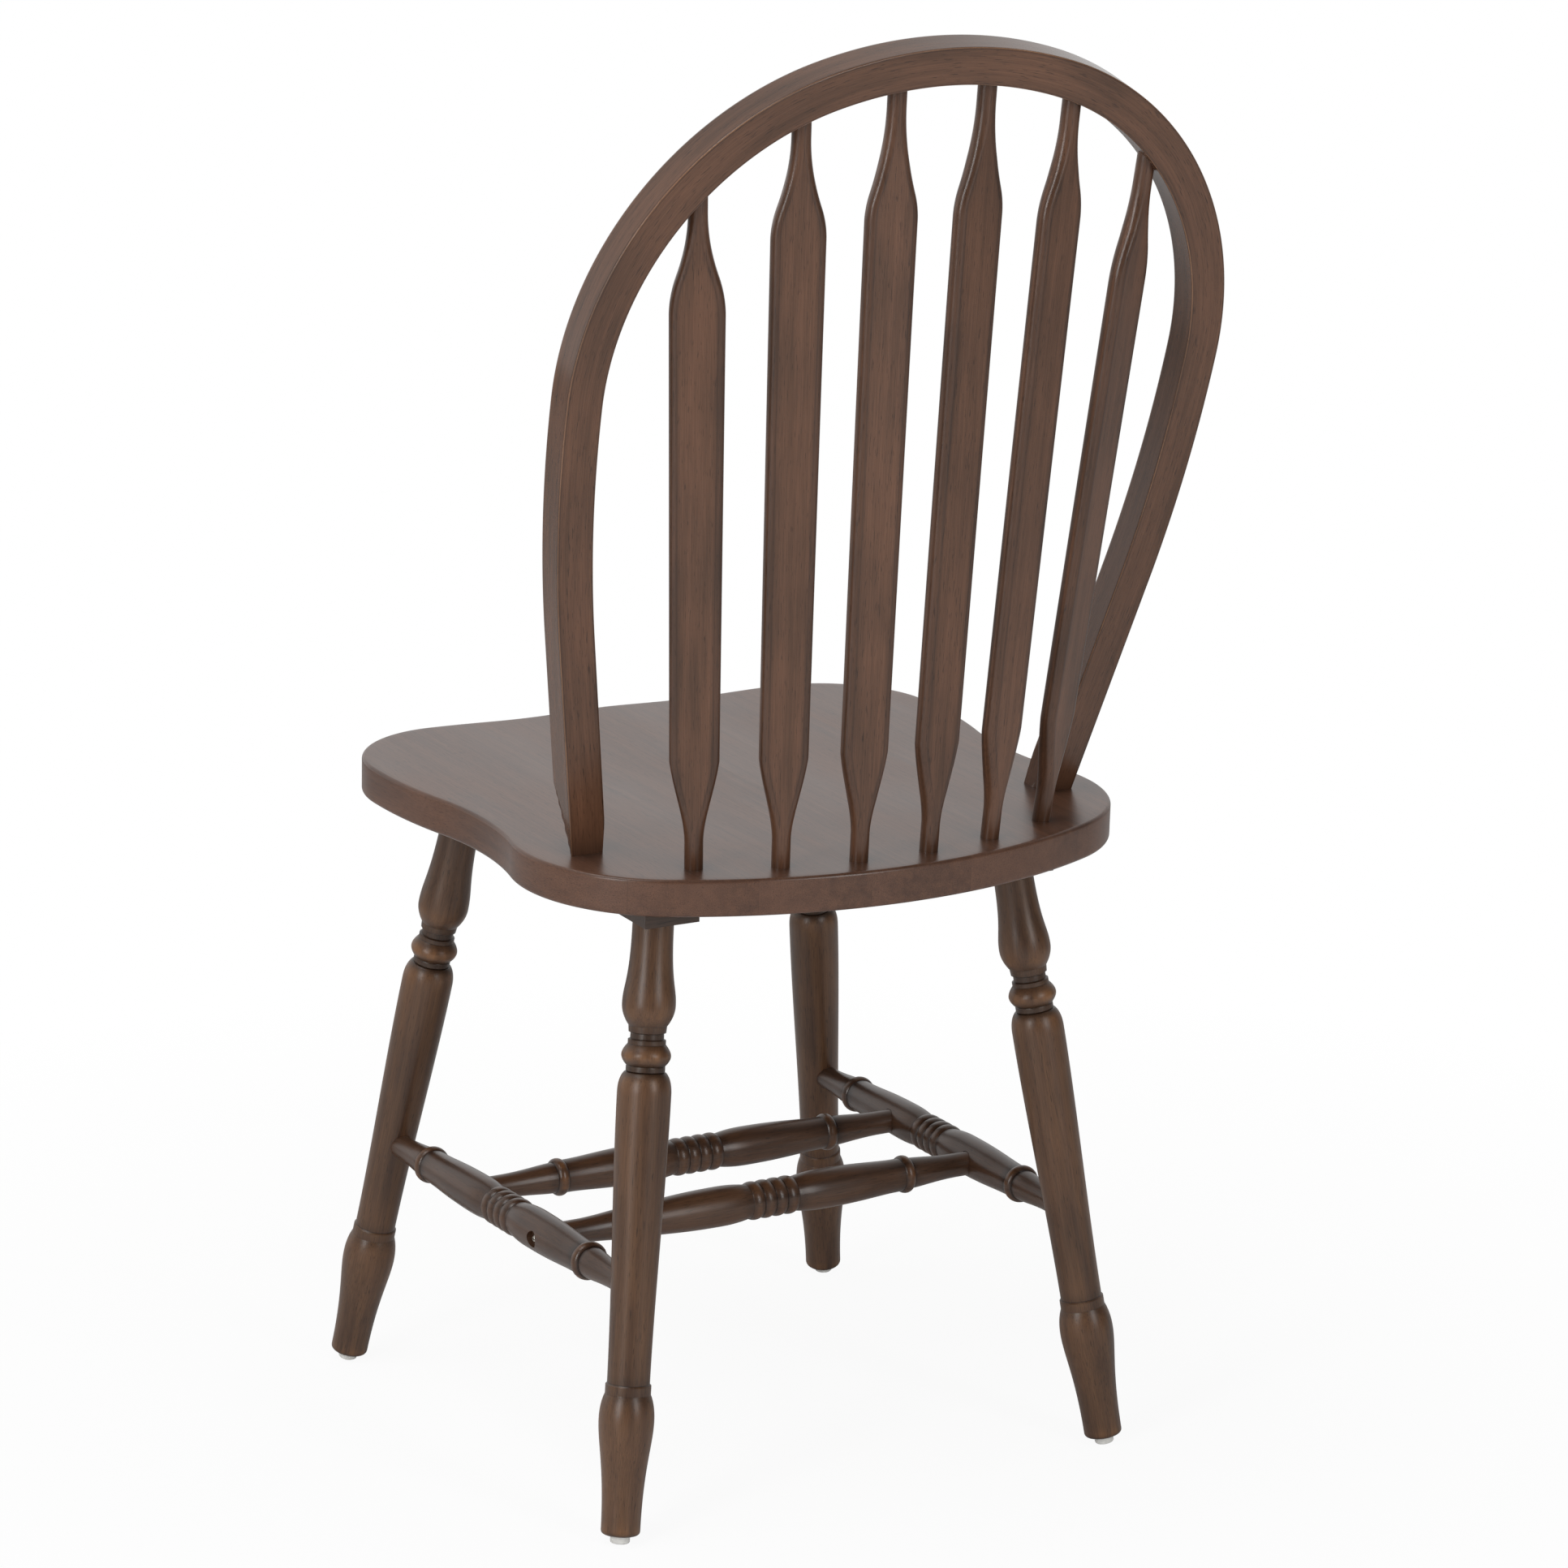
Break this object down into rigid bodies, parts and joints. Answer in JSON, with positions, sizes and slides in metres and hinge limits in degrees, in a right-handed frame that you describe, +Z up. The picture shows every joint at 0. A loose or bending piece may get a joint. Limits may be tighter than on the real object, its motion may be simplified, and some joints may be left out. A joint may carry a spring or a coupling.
{
  "type": "wooden side chair",
  "caption": "Wooden side chair with a bent hoop back, flat arrow-shaped spindles, a waisted solid seat and turned legs and stretchers.",
  "frame": {"origin": "on the floor, under the middle of the chair's bounding box", "axes": "+Z up; the front of the chair faces -Y; the sitter's left is +X; the chair is symmetric across the plane x = 0"},
  "size_m": [0.4696, 0.4985, 0.9632],
  "materials": {
    "seat_wood": "dark walnut stain, satin",
    "back_wood": "dark walnut stain, satin",
    "leg_wood": "dark walnut stain, satin",
    "stretcher_wood": "dark walnut stain, satin",
    "block_wood": "dark walnut stain, matt",
    "plastic_glide": "moulded",
    "steel_fastener": "plain steel"
  },
  "bodies": {
    "root": {"block_screws": "steel_fastener", "cross_stretcher_front": "stretcher_wood", "cross_stretcher_rear": "stretcher_wood", "glide_front_left": "plastic_glide", "glide_front_right": "plastic_glide", "glide_nails": "steel_fastener", "glide_rear_left": "plastic_glide", "glide_rear_right": "plastic_glide", "hoop": "back_wood", "leg_front_left": "leg_wood", "leg_front_right": "leg_wood", "leg_rear_left": "leg_wood", "leg_rear_right": "leg_wood", "seat": "seat_wood", "seat_block_front_left": "block_wood", "seat_block_front_right": "block_wood", "seat_block_rear_left": "block_wood", "seat_block_rear_right": "block_wood", "side_stretcher_left": "stretcher_wood", "side_stretcher_right": "stretcher_wood", "spindle_1": "back_wood", "spindle_2": "back_wood", "spindle_3": "back_wood", "spindle_4": "back_wood", "spindle_5": "back_wood", "spindle_6": "back_wood", "stretcher_screws": "steel_fastener"}
  },
  "joints": []
}
